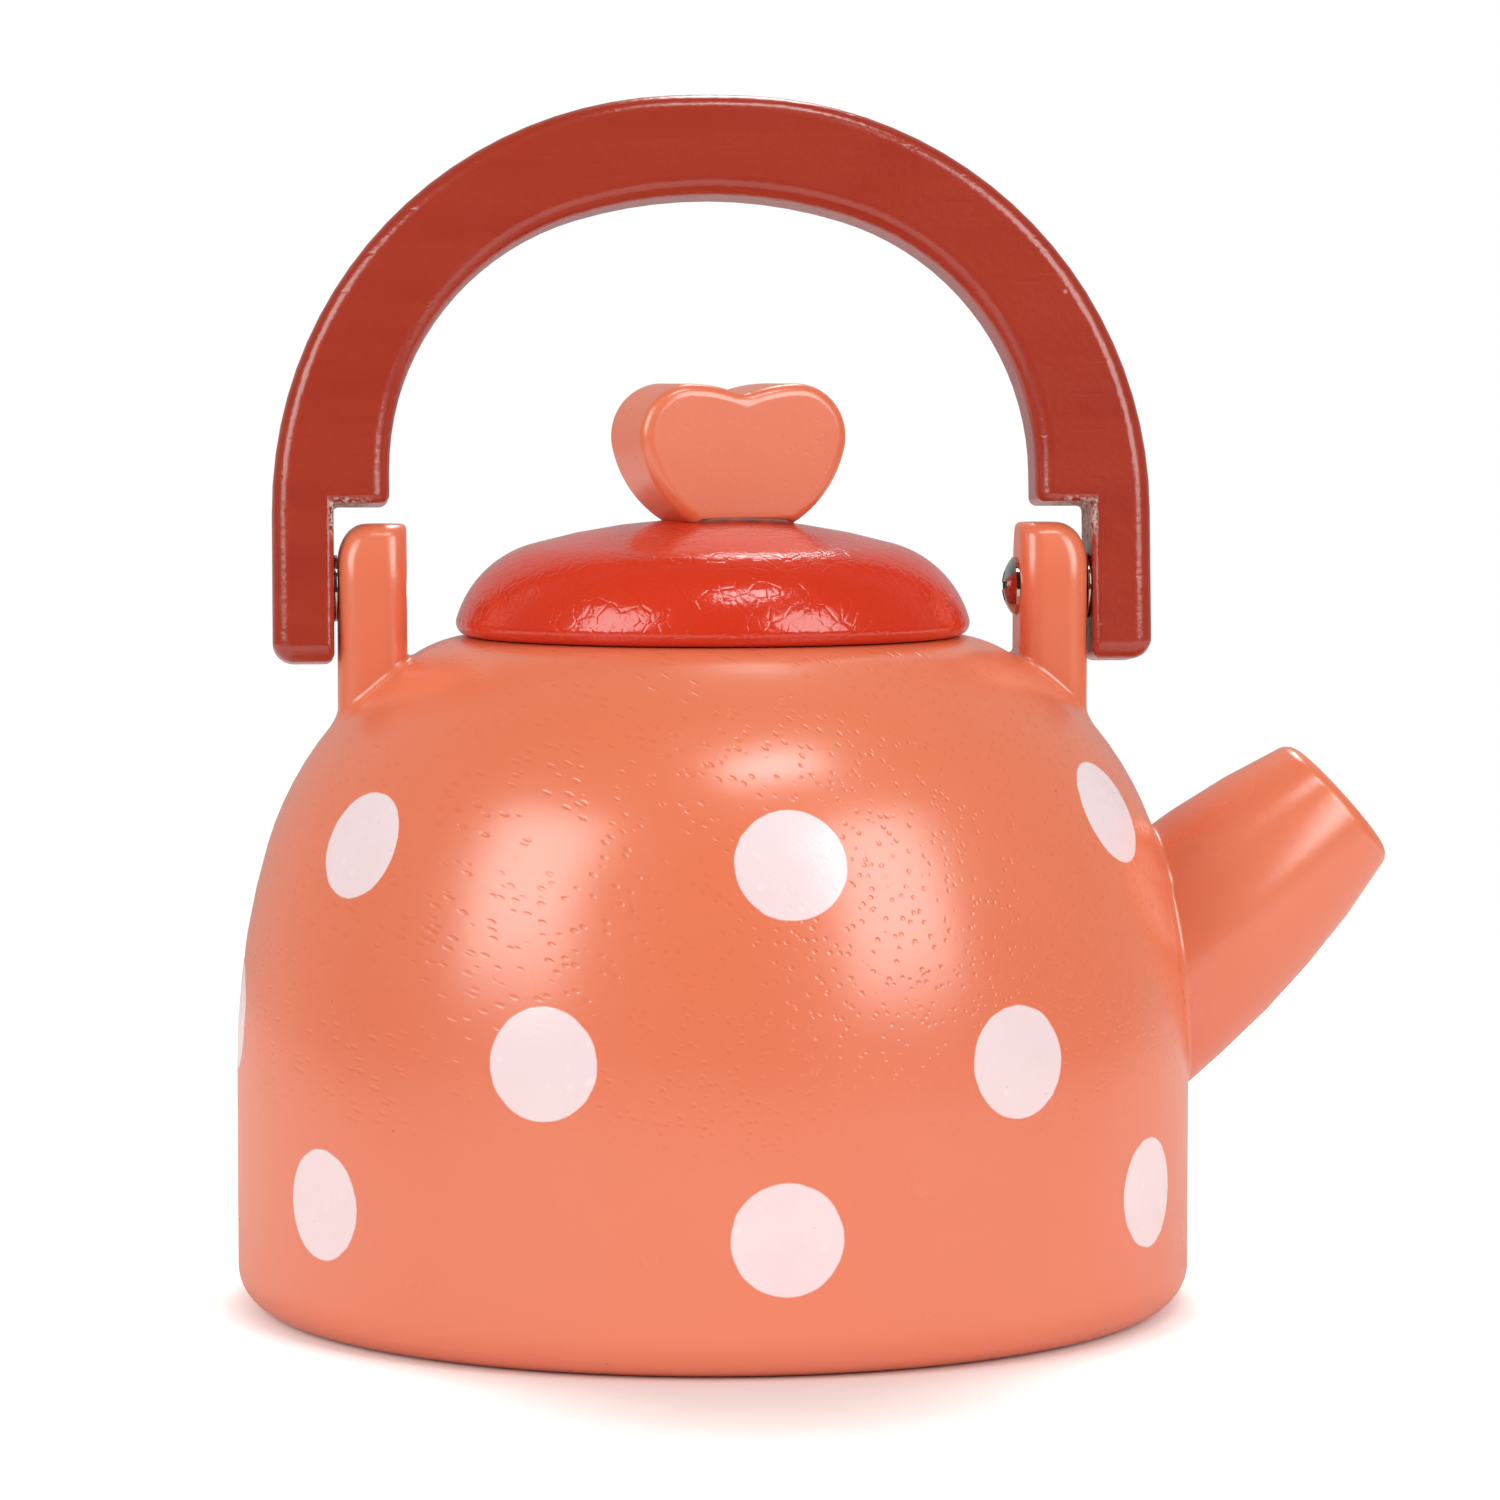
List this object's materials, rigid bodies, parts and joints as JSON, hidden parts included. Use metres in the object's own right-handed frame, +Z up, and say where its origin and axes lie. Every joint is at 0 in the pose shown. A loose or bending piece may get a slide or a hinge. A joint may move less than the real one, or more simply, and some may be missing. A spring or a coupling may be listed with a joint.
{
  "type": "wooden toy kettle",
  "caption": "Painted wooden toy kettle: domed turned body with polka dots, lift-off lid with a heart knob, short spout and a bail handle that swings on screws.",
  "frame": {"origin": "centre of the base, on the surface that the kettle stands on", "axes": "+Z up along the turned body's axis, +X towards the spout and along the handle's pivot, -Y to the front"},
  "size_m": [0.1398, 0.115, 0.1454],
  "materials": {
    "coral_paint": "gloss painted wood",
    "lid_red_paint": "gloss painted wood",
    "handle_red_paint": "satin-gloss painted wood",
    "bare_beech": "bare wood",
    "nickel": "nickel plated"
  },
  "bodies": {
    "kettle": {"body": "coral_paint", "left_lug": "coral_paint", "right_lug": "coral_paint", "spout": "coral_paint"},
    "lid": {"lid": "lid_red_paint", "lid_knob": "coral_paint", "knob_dowel": "bare_beech"},
    "handle": {"handle": "handle_red_paint", "left_pivot_screw": "nickel", "right_pivot_screw": "nickel", "left_washer": "nickel", "right_washer": "nickel"}
  },
  "joints": [
    {"name": "handle_swing", "type": "hinge", "parent": "kettle", "child": "handle", "pos_m": [0, 0, 0.0863], "axis": [1, 0, 0], "range_deg": [-96.5, 107.5]},
    {"name": "lid_lift", "type": "slide", "parent": "kettle", "child": "lid", "axis": [0, 0, 1], "range_m": [0, 0.018]}
  ]
}
